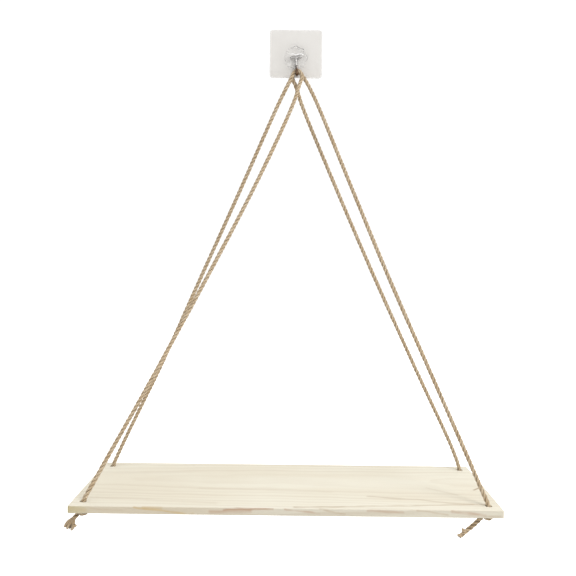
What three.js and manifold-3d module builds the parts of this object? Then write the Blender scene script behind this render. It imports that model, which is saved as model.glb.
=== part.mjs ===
// A hanging plant shelf: a plain wooden board on two jute ropes, which hang from an adhesive wall hook.
// Millimetres, +Z up, +X to the right and +Y towards the wall. The origin is the middle of the pad's back.
import * as THREE from "three";
import { mergeVertices } from "three/addons/utils/BufferGeometryUtils.js";
import Module from "manifold-3d";

const wasm = await Module();
wasm.setup();

// The board, whose back edge rests against the wall plane at y = 0.
const BOARD_WIDTH = 400;
const BOARD_DEPTH = 150;
const BOARD_THICKNESS = 7;
const BOARD_CENTRE_X = -5.2;
const BOARD_TOP_Z = -450;
const BOARD_CORNER = 1.6;
const BOARD_EASE = 0.6;
const BOARD_UNDERSIDE_Z = BOARD_TOP_Z - BOARD_THICKNESS;

// The four rope holes, by their distance from the board's ends and from its long edges.
const HOLE_RADIUS = 3.3;
const HOLE_END_INSET = 11;
const HOLE_EDGE_INSET = 14;
const HOLE_SIDES = 16;

// The adhesive pad and the moulded boss on it.
const PAD_WIDTH = 57;
const PAD_HEIGHT = 52;
const PAD_THICKNESS = 1;
const PAD_CORNER = 4;
const PAD_CORNER_SIDES = 6;
const PAD_EASE = 0.25;
const SEAT_GAP = 0.3;
const BOSS_RADIUS = 12;
const BOSS_LOBES = 8;
const BOSS_LOBE_RISE = 0.7;
const BOSS_OUTLINE_POINTS = 64;
const BOSS_THICKNESS = 5.7;
const BOSS_EASE = 1.2;
const BOSS_CENTRE_Z = -5.2;

// The wire hook: a cross bar held in the boss, a stem, and a J that opens towards the room.
const WIRE_RADIUS = 1.5;
const WIRE_SIDES = 10;
const WIRE_STEPS = 34;
const WIRE_TIP_RINGS = 6;
const WIRE_STEM_Y = -4.3;
const WIRE_BAR_Z = -4.3;
const WIRE_BAR_LENGTH = 13;
const WIRE_LEAN = THREE.MathUtils.degToRad(4);
const HOOK_BEND_RADIUS = 4;
const HOOK_FLAT = 4.7;
const HOOK_BEND_STEPS = 4;
const HOOK_LOW_Z = -25.1;
const HOOK_TIP_Z = -17.4;

// The rope: three strands laid together, with its ridges as three raised corners of a six-sided section.
const ROPE_RADIUS = 2.2;
const ROPE_VALLEY_RADIUS = 1.75;
const ROPE_LAY = 14.7;
const ROPE_SIDES = 6;
const ROPE_END_ROUND = 0.55;
const ROPE_LENGTH_DIVISIONS = 60;

// The stopper knots. Their ring and tube are in pitches, from one pass of the rope to the next.
const KNOT_PITCH = 3.36;
const KNOT_RING = 1.3;
const KNOT_TUBE_ACROSS = 0.6;
const KNOT_TUBE_UP = 0.48;
const KNOT_START = THREE.MathUtils.degToRad(130);
const KNOT_END = THREE.MathUtils.degToRad(930);
const KNOT_POINTS = 16;
const KNOT_TUBE_TURNS = 1.5;
const KNOT_HOLE_HIGH = 2.8;
const KNOT_HOLE_LOW = 1.3;
const KNOT_LEAD = 0.3;
const KNOT_LEAVE = 0.3;
const KNOT_DIP = 0.3;
const KNOT_SQUEEZE = 0.66;
const KNOT_FADE = 3;
const KNOT_PLANE_Z = BOARD_UNDERSIDE_Z - SEAT_GAP - KNOT_TUBE_UP * KNOT_PITCH - KNOT_SQUEEZE * ROPE_RADIUS;

// The strands that come apart at a tail's end.
const STRAND_RADIUS = 1.3;
const STRAND_TIP_RADIUS = 0.9;
const STRAND_SIDES = 5;
const STRAND_STEPS = 5;

// Each rope between its two holes, from the back leg over the hook to the front leg: x, y, z of its centre.
const LEFT_ROPE_HANG = [
  [-186, -14, -431],
  [-142.8, -13.8, -340],
  [-98, -13.6, -239],
  [-54.4, -13.4, -140],
  [-18.4, -13.2, -57],
  [-8, -13.1, -35.5],
  [-3.8, -13, -27],
  [-2, -13, -22.9],
  [1.6, -13, -21.1],
  [5.2, -13, -22.9],
  [6.7, -13.1, -27.4],
  [4, -14.8, -36.4],
  [-2.2, -20.9, -57],
  [-37.6, -45.2, -140],
  [-85.5, -74.2, -239],
  [-136.6, -103.8, -340],
  [-184.4, -130.4, -431],
];
const RIGHT_ROPE_HANG = [
  [177.2, -13.7, -431],
  [134, -12.5, -340],
  [86.9, -11.1, -239],
  [42.7, -9.8, -140],
  [7.2, -8.7, -57],
  [0.2, -8.4, -36.4],
  [-3.4, -8.3, -27.4],
  [-2, -8.3, -22.9],
  [1.6, -8.3, -21.1],
  [5.2, -8.3, -22.9],
  [8.5, -8.3, -27],
  [13.6, -10.2, -35.5],
  [23.5, -16.5, -57],
  [56.1, -41.7, -140],
  [95.3, -71.8, -239],
  [137.8, -102.6, -340],
  [176, -130.2, -431],
];

// Each tail: where it runs after its knot, and its loose strands. Its places are measured from the middle of its
// hole in the underside.
const TAILS = {
  back_left: {
    heading: 20,
    run: [
      [7.6, -3.2, -6.4],
      [11.6, -1.4, -10],
      [15.4, 0, -14.6],
    ],
    strands: [
      [[14.6, -0.2, -13.6], [17.6, 1.2, -17.4], [20.6, 1, -20]],
      [[14.6, -0.2, -13.6], [16.2, -0.2, -18.4], [16.6, -1.8, -22.4]],
    ],
  },
  front_left: {
    heading: 210,
    run: [
      [-7, 1, -7.6],
      [-9.9, -0.8, -10.3],
    ],
    strands: [
      [[-9, -0.2, -9], [-13.3, -1.4, -11.9], [-15.6, -1.8, -14.8], [-16.8, -2, -17]],
      [[-8.8, -0.3, -9.4], [-11.3, -1.8, -12.9], [-13.1, -2.4, -15.7], [-14.1, -2.8, -18.6]],
      [[-8.6, -0.4, -9.6], [-8.5, -2.4, -14.1], [-9, -3.2, -17.3], [-10.4, -3.4, -19.3]],
      [[-8.5, -1, -11.1], [-8, -3.4, -14.8], [-6.8, -4.4, -15.1], [-5.1, -4.8, -13.9]],
    ],
  },
  back_right: {
    heading: 165,
    run: [
      [-5, 7.2, -6.4],
      [-10.4, 7.4, -9.6],
      [-16, 7, -14.4],
    ],
    strands: [
      [[-15.2, 7, -13.6], [-19.2, 6.8, -16.6], [-22.6, 6.2, -17.8]],
      [[-15.2, 7, -13.6], [-17.8, 5.8, -18.4], [-19.4, 4.2, -21.8]],
    ],
  },
  front_right: {
    heading: 210,
    run: [
      [-8.2, 1.6, -6.6],
      [-12.4, -0.6, -9.6],
      [-17, -1.6, -13.1],
      [-22.3, -2.3, -17.3],
      [-27.4, -3, -21.4],
    ],
    strands: [
      [[-21.4, -2.3, -16.5], [-23.4, -3, -15.4], [-24.9, -3.6, -13.5]],
      [[-25, -2.8, -19.3], [-27.6, -3.4, -19.8], [-29.2, -3.6, -19.2]],
    ],
  },
};

const wood = new THREE.MeshStandardMaterial({ color: 0xeee4cf, roughness: 0.75, metalness: 0 });
const jute = new THREE.MeshStandardMaterial({ color: 0xb99a6b, roughness: 0.95, metalness: 0 });
const padPlastic = new THREE.MeshStandardMaterial({ color: 0xe4e2de, roughness: 0.25, metalness: 0 });
const bossPlastic = new THREE.MeshStandardMaterial({ color: 0xf0efec, roughness: 0.15, metalness: 0 });
const steel = new THREE.MeshStandardMaterial({ color: 0xb4b2b0, roughness: 0.3, metalness: 1 });

// A closed mesh as a solid that can be joined and cut.
function solidOf(geometry) {
  const bare = geometry.clone();
  bare.deleteAttribute("normal");
  bare.deleteAttribute("uv");
  const merged = mergeVertices(bare, 1e-4);
  return new wasm.Manifold(
    new wasm.Mesh({
      numProp: 3,
      vertProperties: new Float32Array(merged.attributes.position.array),
      triVerts: new Uint32Array(merged.index.array),
    }),
  );
}

// The faces of a joined or cut solid, as a geometry.
function geometryOf(solid) {
  const mesh = solid.getMesh();
  const geometry = new THREE.BufferGeometry();
  geometry.setAttribute("position", new THREE.BufferAttribute(mesh.vertProperties, 3));
  geometry.setIndex(new THREE.BufferAttribute(mesh.triVerts, 1));
  geometry.computeVertexNormals();
  return geometry;
}

function named(name, geometry, material) {
  const mesh = new THREE.Mesh(geometry, material);
  mesh.name = name;
  return mesh;
}

// A rectangle about the origin with round corners.
function roundedRectangle(width, height, radius) {
  const x = width / 2;
  const y = height / 2;
  const shape = new THREE.Shape();
  shape.moveTo(-x + radius, -y);
  shape.lineTo(x - radius, -y);
  shape.absarc(x - radius, -y + radius, radius, -Math.PI / 2, 0);
  shape.lineTo(x, y - radius);
  shape.absarc(x - radius, y - radius, radius, 0, Math.PI / 2);
  shape.lineTo(-x + radius, y);
  shape.absarc(-x + radius, y - radius, radius, Math.PI / 2, Math.PI);
  shape.lineTo(-x, -y + radius);
  shape.absarc(-x + radius, -y + radius, radius, Math.PI, 1.5 * Math.PI);
  return shape;
}

// A plate of this outline with its edges eased, from z = 0 up to its thickness.
function easedPlate(shape, thickness, ease, curveSegments, bevelSegments) {
  const plate = new THREE.ExtrudeGeometry(shape, {
    depth: thickness - 2 * ease,
    bevelThickness: ease,
    bevelSize: ease,
    bevelSegments,
    curveSegments,
  });
  plate.translate(0, 0, ease);
  return plate;
}

// The middle of each hole, by name.
function holeCentres() {
  const reach = BOARD_WIDTH / 2 - HOLE_END_INSET;
  const left = BOARD_CENTRE_X - reach;
  const right = BOARD_CENTRE_X + reach;
  const back = -HOLE_EDGE_INSET;
  const front = HOLE_EDGE_INSET - BOARD_DEPTH;
  return {
    back_left: new THREE.Vector2(left, back),
    front_left: new THREE.Vector2(left, front),
    back_right: new THREE.Vector2(right, back),
    front_right: new THREE.Vector2(right, front),
  };
}

function makeBoard() {
  const width = BOARD_WIDTH - 2 * BOARD_EASE;
  const depth = BOARD_DEPTH - 2 * BOARD_EASE;
  const shape = roundedRectangle(width, depth, BOARD_CORNER - BOARD_EASE);
  for (const centre of Object.values(holeCentres())) {
    const hole = new THREE.Path();
    const x = centre.x - BOARD_CENTRE_X;
    const y = centre.y + BOARD_DEPTH / 2;
    hole.absarc(x, y, HOLE_RADIUS + BOARD_EASE, 0, 2 * Math.PI, true);
    shape.holes.push(hole);
  }
  const plate = easedPlate(shape, BOARD_THICKNESS, BOARD_EASE, HOLE_SIDES / 2, 1);
  const board = named("board", plate, wood);
  board.position.set(BOARD_CENTRE_X, -BOARD_DEPTH / 2, BOARD_UNDERSIDE_Z);
  return board;
}

// Pieces drawn flat, with their back at z = 0, are turned to stand on the wall and face the room.
function turnedToRoom(geometry, backY, centreZ) {
  geometry.rotateX(Math.PI / 2);
  geometry.translate(0, backY, centreZ);
  return geometry;
}

function makePad() {
  const shape = roundedRectangle(PAD_WIDTH - 2 * PAD_EASE, PAD_HEIGHT - 2 * PAD_EASE, PAD_CORNER);
  const plate = easedPlate(shape, PAD_THICKNESS, PAD_EASE, PAD_CORNER_SIDES / 2, 1);
  return named("hook_pad", turnedToRoom(plate, 0, 0), padPlastic);
}

// The stem and the J behind it, in the plane x = 0 of the wire.
function hookPath() {
  const backBend = WIRE_STEM_Y - HOOK_BEND_RADIUS;
  const frontBend = backBend - HOOK_FLAT;
  const bendZ = HOOK_LOW_Z + HOOK_BEND_RADIUS;
  const points = [
    new THREE.Vector3(0, WIRE_STEM_Y, WIRE_BAR_Z),
    new THREE.Vector3(0, WIRE_STEM_Y, (WIRE_BAR_Z + bendZ) / 2),
  ];
  for (const [bendY, from] of [
    [backBend, 0],
    [frontBend, -Math.PI / 2],
  ]) {
    for (let step = 0; step <= HOOK_BEND_STEPS; step += 1) {
      const angle = from - (step / HOOK_BEND_STEPS) * (Math.PI / 2);
      const y = bendY + HOOK_BEND_RADIUS * Math.cos(angle);
      const z = bendZ + HOOK_BEND_RADIUS * Math.sin(angle);
      points.push(new THREE.Vector3(0, y, z));
    }
  }
  points.push(new THREE.Vector3(0, frontBend - HOOK_BEND_RADIUS, HOOK_TIP_Z));
  return new THREE.CatmullRomCurve3(points, false, "centripetal");
}

// The wire as a solid of this radius: its cross bar, its stem and J, and its round tip.
function wireSolid(radius, barLength) {
  const path = hookPath();
  const section = new THREE.Shape();
  section.absarc(0, 0, radius, 0, 2 * Math.PI);
  const stem = new THREE.ExtrudeGeometry(section, {
    steps: WIRE_STEPS,
    curveSegments: WIRE_SIDES / 2,
    bevelEnabled: false,
    extrudePath: path,
  });
  const bar = new THREE.CylinderGeometry(radius, radius, barLength, WIRE_SIDES);
  bar.rotateZ(Math.PI / 2);
  bar.translate(0, WIRE_STEM_Y, WIRE_BAR_Z);
  const tip = new THREE.SphereGeometry(radius, WIRE_SIDES, WIRE_TIP_RINGS);
  const end = path.getPoint(1);
  tip.rotateX(Math.PI / 2);
  tip.translate(end.x, end.y, end.z);
  const joined = solidOf(stem).add(solidOf(bar)).add(solidOf(tip));
  const geometry = geometryOf(joined);
  geometry.translate(0, 0, -WIRE_BAR_Z);
  geometry.rotateY(-WIRE_LEAN);
  geometry.translate(0, 0, WIRE_BAR_Z);
  return geometry;
}

// The boss is a scalloped disc, with a channel in it that holds the wire's bar and stem.
function makeBoss() {
  const outline = [];
  for (let step = 0; step < BOSS_OUTLINE_POINTS; step += 1) {
    const angle = (step / BOSS_OUTLINE_POINTS) * 2 * Math.PI;
    const radius = BOSS_RADIUS - BOSS_EASE + BOSS_LOBE_RISE * Math.cos(BOSS_LOBES * angle);
    outline.push(new THREE.Vector2(radius * Math.cos(angle), radius * Math.sin(angle)));
  }
  const disc = easedPlate(new THREE.Shape(outline), BOSS_THICKNESS, BOSS_EASE, 1, 2);
  turnedToRoom(disc, -PAD_THICKNESS - SEAT_GAP, BOSS_CENTRE_Z);
  const channel = solidOf(wireSolid(WIRE_RADIUS + SEAT_GAP, WIRE_BAR_LENGTH + 2 * SEAT_GAP));
  return named("hook_boss", geometryOf(solidOf(disc).subtract(channel)), bossPlastic);
}

function makeWire() {
  return named("hook_wire", wireSolid(WIRE_RADIUS, WIRE_BAR_LENGTH), steel);
}

// An overhand knot is part of a winding on a ring, which turns one and a half times round its tube for each
// ring. Its first points come straight down through the hole, and it leaves along the heading, in degrees.
function knotPoints(hole, heading) {
  const winding = [];
  for (let step = 0; step < KNOT_POINTS; step += 1) {
    const round = KNOT_START + (step / (KNOT_POINTS - 1)) * (KNOT_END - KNOT_START);
    const along = round / KNOT_TUBE_TURNS;
    const radius = KNOT_RING + KNOT_TUBE_ACROSS * Math.cos(round);
    const up = KNOT_TUBE_UP * Math.sin(round);
    winding.push(new THREE.Vector3(radius * Math.cos(along), radius * Math.sin(along), up));
  }
  const first = winding[0].clone();
  const lead = winding[1].clone().sub(first).multiplyScalar(KNOT_LEAD);
  const exit = winding[KNOT_POINTS - 1].clone().sub(winding[KNOT_POINTS - 2]);
  const turn = THREE.MathUtils.degToRad(heading) - Math.atan2(exit.y, exit.x);
  exit.setZ(0).setLength(KNOT_LEAVE);
  const last = winding[KNOT_POINTS - 1].clone().add(exit).add(new THREE.Vector3(0, 0, -KNOT_DIP));
  const centreX = first.x - lead.x;
  const centreY = first.y - lead.y;
  const inHole = [KNOT_HOLE_HIGH, KNOT_HOLE_LOW].map((up) => new THREE.Vector3(centreX, centreY, up));
  return [...inHole, ...winding, last].map((point) => {
    point.x -= centreX;
    point.y -= centreY;
    point.applyAxisAngle(new THREE.Vector3(0, 0, 1), turn).multiplyScalar(KNOT_PITCH);
    return point.add(new THREE.Vector3(hole.x, hole.y, KNOT_PLANE_Z));
  });
}

// A list of x, y, z as points from a hole's middle in the underside.
function pointsFromHole(hole, list) {
  return list.map(([x, y, z]) => new THREE.Vector3(hole.x + x, hole.y + y, BOARD_UNDERSIDE_Z + z));
}

// A rope's whole route, from one tail to the other, and the first and last point of each knot's winding.
function ropeRoute(backName, frontName, hang) {
  const holes = holeCentres();
  const [back, front] = [backName, frontName].map((name) => [
    ...knotPoints(holes[name], TAILS[name].heading),
    ...pointsFromHole(holes[name], TAILS[name].run),
  ]);
  const middle = hang.map(([x, y, z]) => new THREE.Vector3(x, y, z));
  const route = [...back.reverse(), ...middle, ...front];
  const backKnot = TAILS[backName].run.length + 1;
  const frontKnot = route.length - 1 - KNOT_POINTS - TAILS[frontName].run.length;
  return {
    route,
    knots: [
      [backKnot, backKnot + KNOT_POINTS - 1],
      [frontKnot, frontKnot + KNOT_POINTS - 1],
    ],
  };
}

// How much thinner the rope is at a length along it: it is pulled tight in its knots.
function squeezeAt(length, knots) {
  const away = Math.min(...knots.map(([from, to]) => Math.max(from - length, length - to)));
  return THREE.MathUtils.lerp(KNOT_SQUEEZE, 1, THREE.MathUtils.smoothstep(away, 0, KNOT_FADE));
}

// A closed skin over rings of points, with a point in the middle of each end.
function skinOver(rings, firstEnd, lastEnd) {
  const sides = rings[0].length;
  const points = [...rings.flat(), firstEnd, lastEnd];
  const first = points.length - 2;
  const last = points.length - 1;
  const faces = [];
  for (let ring = 0; ring < rings.length - 1; ring += 1) {
    for (let side = 0; side < sides; side += 1) {
      const next = (side + 1) % sides;
      const here = ring * sides;
      const there = here + sides;
      faces.push(here + side, here + next, there + next);
      faces.push(here + side, there + next, there + side);
    }
  }
  const top = (rings.length - 1) * sides;
  for (let side = 0; side < sides; side += 1) {
    const next = (side + 1) % sides;
    faces.push(first, next, side);
    faces.push(last, top + side, top + next);
  }
  const geometry = new THREE.BufferGeometry().setFromPoints(points);
  geometry.setIndex(faces);
  geometry.computeVertexNormals();
  return geometry;
}

// Rings of a section along a curve. The section gives a corner's radius and angle at a step along it.
function sweptRings(curve, steps, sides, corner) {
  const frames = curve.computeFrenetFrames(steps, false);
  const rings = [];
  for (let step = 0; step <= steps; step += 1) {
    const centre = curve.getPointAt(step / steps);
    const ring = [];
    for (let side = 0; side < sides; side += 1) {
      const { radius, angle } = corner(step, side);
      const out = frames.normals[step].clone().multiplyScalar(radius * Math.cos(angle));
      out.addScaledVector(frames.binormals[step], radius * Math.sin(angle));
      ring.push(centre.clone().add(out));
    }
    rings.push(ring);
  }
  return rings;
}

function makeStrand(points) {
  const curve = new THREE.CatmullRomCurve3(points, false, "centripetal");
  const rings = sweptRings(curve, STRAND_STEPS, STRAND_SIDES, (step, side) => ({
    radius: THREE.MathUtils.lerp(STRAND_RADIUS, STRAND_TIP_RADIUS, step / STRAND_STEPS),
    angle: (side / STRAND_SIDES) * 2 * Math.PI,
  }));
  return skinOver(rings, curve.getPointAt(0), curve.getPointAt(1));
}

// One rope with its raised twist, its two knots and the loose strands of its tails, as one solid. Every second
// ring is kept only where the rope is drawn in, so that the knots are finer.
function makeRope(name, backName, frontName, hang) {
  const holes = holeCentres();
  const { route, knots } = ropeRoute(backName, frontName, hang);
  const curve = new THREE.CatmullRomCurve3(route, false, "centripetal");
  curve.arcLengthDivisions = (route.length - 1) * ROPE_LENGTH_DIVISIONS;
  const lengths = curve.getLengths();
  const drawnIn = knots.map((knot) => knot.map((index) => lengths[index * ROPE_LENGTH_DIVISIONS]));
  const steps = 2 * Math.round((curve.getLength() * ROPE_SIDES) / ROPE_LAY);
  const squeezes = [];
  for (let step = 0; step <= steps; step += 1) {
    squeezes.push(squeezeAt((step / steps) * curve.getLength(), drawnIn));
  }
  const rings = sweptRings(curve, steps, ROPE_SIDES, (step, side) => {
    const ridge = side % 2 === 0 ? ROPE_RADIUS : ROPE_VALLEY_RADIUS;
    const closing = step === 0 || step === steps ? ROPE_END_ROUND : 1;
    return {
      radius: ridge * closing * squeezes[step],
      angle: ((side + step / 2) / ROPE_SIDES) * 2 * Math.PI,
    };
  }).filter((ring, step) => step % 2 === 0 || squeezes[step] < 1);
  let rope = solidOf(skinOver(rings, route[0], route[route.length - 1]));
  for (const end of [backName, frontName]) {
    for (const strand of TAILS[end].strands) {
      rope = rope.add(solidOf(makeStrand(pointsFromHole(holes[end], strand))));
    }
  }
  return named(name, geometryOf(rope), jute);
}

const shelf = new THREE.Group();
shelf.name = "hanging_plant_shelf";

const hook = new THREE.Group();
hook.add(makePad(), makeBoss(), makeWire());
shelf.add(hook);

shelf.add(makeRope("left_rope", "back_left", "front_left", LEFT_ROPE_HANG));
shelf.add(makeRope("right_rope", "back_right", "front_right", RIGHT_ROPE_HANG));
shelf.add(makeBoard());

export default shelf;
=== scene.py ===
"""A hanging plant shelf: a plain pale board on two jute ropes, which hang from an adhesive wall hook.

Blender's units are metres, with +Z up, +X to the right and +Y towards the wall. The origin is the middle of
the hook pad's back. Sizes are named here in millimetres and turned into metres where a mesh is made.
"""
import math
import random

import bpy
import numpy as np
from mathutils import Matrix, Vector
from mathutils.geometry import delaunay_2d_cdt


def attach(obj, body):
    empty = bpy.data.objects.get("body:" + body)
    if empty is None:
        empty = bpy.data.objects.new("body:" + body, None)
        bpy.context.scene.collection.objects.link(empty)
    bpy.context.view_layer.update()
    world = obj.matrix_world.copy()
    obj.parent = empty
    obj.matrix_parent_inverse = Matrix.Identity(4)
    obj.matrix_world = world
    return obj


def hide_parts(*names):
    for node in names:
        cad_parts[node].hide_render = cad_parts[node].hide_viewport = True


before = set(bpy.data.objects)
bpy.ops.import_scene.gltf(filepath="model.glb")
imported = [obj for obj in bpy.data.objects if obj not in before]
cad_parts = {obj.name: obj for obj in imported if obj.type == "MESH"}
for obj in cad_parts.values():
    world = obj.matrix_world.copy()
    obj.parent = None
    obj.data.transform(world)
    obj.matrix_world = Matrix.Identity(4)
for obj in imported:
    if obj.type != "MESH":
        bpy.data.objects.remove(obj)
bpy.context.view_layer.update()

MM = 0.001
FULL_TURN = 2 * math.pi

# The photograph's view.
CAMERA_PLACE = (-0.0052, -0.8435, -0.2213)
CAMERA_PITCH = math.radians(-2.235)
CAMERA_YAW = math.radians(0.03)
CAMERA_ROLL = math.radians(0.68)
PHOTO_SIDE = 576
FOCAL_PIXELS = 768
SENSOR_MM = 36

# The board and its four rope holes.
BOARD_WIDTH = 400
BOARD_DEPTH = 150
BOARD_THICKNESS = 7
BOARD_CENTRE_X = -5.2
BOARD_TOP_Z = -450
BOARD_UNDERSIDE_Z = BOARD_TOP_Z - BOARD_THICKNESS
BOARD_CORNER = 1.6
BOARD_EASE = 0.6
HOLE_RADIUS = 3.3
HOLE_END_INSET = 11
HOLE_EDGE_INSET = 14
HOLE_POINTS = 48

# The hook: its pad, the scalloped boss and the wire.
PAD_WIDTH = 57
PAD_HEIGHT = 52
PAD_THICKNESS = 1
PAD_CORNER = 4
PAD_EASE = 0.25
SEAT_GAP = 0.3
BOSS_RADIUS = 12
BOSS_LOBES = 8
BOSS_LOBE_RISE = 0.7
BOSS_THICKNESS = 5.7
BOSS_EASE = 1.2
BOSS_CENTRE_Z = -5.2
WIRE_RADIUS = 1.5
WIRE_STEM_Y = -4.3
WIRE_BAR_Z = -4.3
WIRE_BAR_LENGTH = 13
WIRE_LEAN = math.radians(4)
HOOK_BEND_RADIUS = 4
HOOK_FLAT = 4.7
HOOK_LOW_Z = -25.1
HOOK_TIP_Z = -17.4

# The rope: three strands laid together, and how it is drawn in at its knots.
ROPE_RADIUS = 2.2
ROPE_LAY = 14.7
ROPE_STRANDS = 3
STRAND_RADIUS = 1.13
STRAND_SIDES = 12
STRAND_STEP = 0.66
YARN_LAY = 15.1
KNOT_PITCH = 3.36
KNOT_RING = 1.3
KNOT_TUBE_ACROSS = 0.6
KNOT_TUBE_UP = 0.48
KNOT_START = math.radians(130)
KNOT_END = math.radians(930)
KNOT_POINTS = 16
KNOT_TUBE_TURNS = 1.5
KNOT_HOLE_HIGH = 2.8
KNOT_HOLE_LOW = 1.3
KNOT_LEAD = 0.3
KNOT_LEAVE = 0.3
KNOT_DIP = 0.3
KNOT_SQUEEZE = 0.66
KNOT_FADE = 3
KNOT_PLANE_Z = BOARD_UNDERSIDE_Z - SEAT_GAP - KNOT_TUBE_UP * KNOT_PITCH - KNOT_SQUEEZE * ROPE_RADIUS

# How uneven the lay is: by what share it sways, swells or is ridged, and over what length. STRANDS_APART
# keeps the strands' fibre coordinates apart, so that no two strands look alike.
LAY_SWAY = 0.12
LAY_SWAY_LENGTH = 60
STRAND_SWELL = 0.05
STRAND_SWELL_LENGTH = 24
STRAND_SHIFT_LENGTH = 35
YARN_RIDGE = 0.03
FINE_YARN_RIDGE = 0.035
STRANDS_APART = 97.0

# A rope's cut end is thinner. Painted shade is taken off how far a point faces out, so that the cut end
# and the tail, which hangs under the board, look darker.
END_THIN = 0.78
END_TAPER = 1.4
CUT_SHADE = 1.2
CUT_LENGTH = 1.3
TAIL_SHADE = 0.35
TAIL_LENGTH = 30
TAIL_FADE = 6

# The fuzz along a rope. A pair is the least and the most.
FIBRE_TIP = 0.35
FUZZ_SPACING = 2.0
FUZZ_LENGTH = (1.6, 5.2)
FUZZ_FORWARD = (0.5, 1.0)
FUZZ_LIFT = (0.12, 0.42)
FUZZ_SWING = 0.5
FUZZ_RADIUS = (0.035, 0.06)
FUZZ_ROOT = 0.84
FUZZ_FIBRE_SCALE = 0.7

# The strands that come loose at a tail's end, and the thinner locks between them.
LOOSE_STRAND = 1.35
LOOSE_LOCK = 0.7
LOOSE_STEP = 0.5
LOOSE_BELLY = 0.18
LOOSE_TAPER = 0.3
LOOSE_CORE_SIDES = 8
LOOSE_FIBRES = 24
LOOSE_FIBRE_RADIUS = (0.16, 0.26)
LOOSE_FIBRE_SCALE = 0.55
LOOSE_TWIST = 11.0
LOCK_REACH = 0.7
# Painted shade: the cores a little, the locks between loose strands more, and the cut tips over TIP_LENGTH.
CORE_SHADE = 0.45
LOCK_SHADE = -0.35
TIP_LENGTH = 2.6

# Each rope between its two holes, from the back leg over the hook to the front leg: x, y, z of its centre.
LEFT_ROPE_HANG = [
    (-186, -14, -431),
    (-142.8, -13.8, -340),
    (-98, -13.6, -239),
    (-54.4, -13.4, -140),
    (-18.4, -13.2, -57),
    (-8, -13.1, -35.5),
    (-3.8, -13, -27),
    (-2, -13, -22.9),
    (1.6, -13, -21.1),
    (5.2, -13, -22.9),
    (6.7, -13.1, -27.4),
    (4, -14.8, -36.4),
    (-2.2, -20.9, -57),
    (-37.6, -45.2, -140),
    (-85.5, -74.2, -239),
    (-136.6, -103.8, -340),
    (-184.4, -130.4, -431),
]
RIGHT_ROPE_HANG = [
    (177.2, -13.7, -431),
    (134, -12.5, -340),
    (86.9, -11.1, -239),
    (42.7, -9.8, -140),
    (7.2, -8.7, -57),
    (0.2, -8.4, -36.4),
    (-3.4, -8.3, -27.4),
    (-2, -8.3, -22.9),
    (1.6, -8.3, -21.1),
    (5.2, -8.3, -22.9),
    (8.5, -8.3, -27),
    (13.6, -10.2, -35.5),
    (23.5, -16.5, -57),
    (56.1, -41.7, -140),
    (95.3, -71.8, -239),
    (137.8, -102.6, -340),
    (176, -130.2, -431),
]

# Each tail: the way in degrees that its knot leaves, its run after the knot and its loose strands, from the
# middle of its hole in the underside. A full tail has thinner locks between its strands.
TAILS = {
    "back_left": {
        "heading": 20,
        "full": True,
        "run": [(7.6, -3.2, -6.4), (11.6, -1.4, -10), (15.4, 0, -14.6)],
        "strands": [
            [(14.6, -0.2, -13.6), (17.6, 1.2, -17.4), (20.6, 1, -20)],
            [(14.6, -0.2, -13.6), (16.2, -0.2, -18.4), (16.6, -1.8, -22.4)],
        ],
    },
    "front_left": {
        "heading": 210,
        "full": True,
        "run": [(-7, 1, -7.6), (-9.9, -0.8, -10.3)],
        "strands": [
            [(-9, -0.2, -9), (-13.3, -1.4, -11.9), (-15.6, -1.8, -14.8), (-16.8, -2, -17)],
            [(-8.8, -0.3, -9.4), (-11.3, -1.8, -12.9), (-13.1, -2.4, -15.7), (-14.1, -2.8, -18.6)],
            [(-8.6, -0.4, -9.6), (-8.5, -2.4, -14.1), (-9, -3.2, -17.3), (-10.4, -3.4, -19.3)],
            [(-8.5, -1, -11.1), (-8, -3.4, -14.8), (-6.8, -4.4, -15.1), (-5.1, -4.8, -13.9)],
        ],
    },
    "back_right": {
        "heading": 165,
        "full": True,
        "run": [(-5, 7.2, -6.4), (-10.4, 7.4, -9.6), (-16, 7, -14.4)],
        "strands": [
            [(-15.2, 7, -13.6), (-19.2, 6.8, -16.6), (-22.6, 6.2, -17.8)],
            [(-15.2, 7, -13.6), (-17.8, 5.8, -18.4), (-19.4, 4.2, -21.8)],
        ],
    },
    "front_right": {
        "heading": 210,
        "full": False,
        "run": [
            (-8.2, 1.6, -6.6), (-12.4, -0.6, -9.6), (-17, -1.6, -13.1),
            (-22.3, -2.3, -17.3), (-27.4, -3, -21.4),
        ],
        "strands": [
            [(-21.4, -2.3, -16.5), (-23.4, -3, -15.4), (-24.9, -3.6, -13.5)],
            [(-25, -2.8, -19.3), (-27.6, -3.4, -19.8), (-29.2, -3.6, -19.2)],
        ],
    },
}


# Camera

def make_camera():
    """The camera where the photograph was taken from, with its slight downward look and its roll."""
    camera = bpy.data.objects.new("camera", bpy.data.cameras.new("camera"))
    bpy.context.scene.collection.objects.link(camera)
    camera.data.sensor_width = SENSOR_MM
    camera.data.lens = FOCAL_PIXELS / PHOTO_SIDE * SENSOR_MM
    flat = Vector((-math.sin(CAMERA_YAW), math.cos(CAMERA_YAW), 0))
    level = Vector((math.cos(CAMERA_YAW), math.sin(CAMERA_YAW), 0))
    ahead = flat * math.cos(CAMERA_PITCH) + Vector((0, 0, math.sin(CAMERA_PITCH)))
    upward = level.cross(ahead)
    right = level * math.cos(CAMERA_ROLL) + upward * math.sin(CAMERA_ROLL)
    up = upward * math.cos(CAMERA_ROLL) - level * math.sin(CAMERA_ROLL)
    turned = Matrix((right, up, -ahead)).transposed().to_4x4()
    camera.matrix_world = Matrix.Translation(CAMERA_PLACE) @ turned
    bpy.context.scene.camera = camera


# Node wiring

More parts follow.
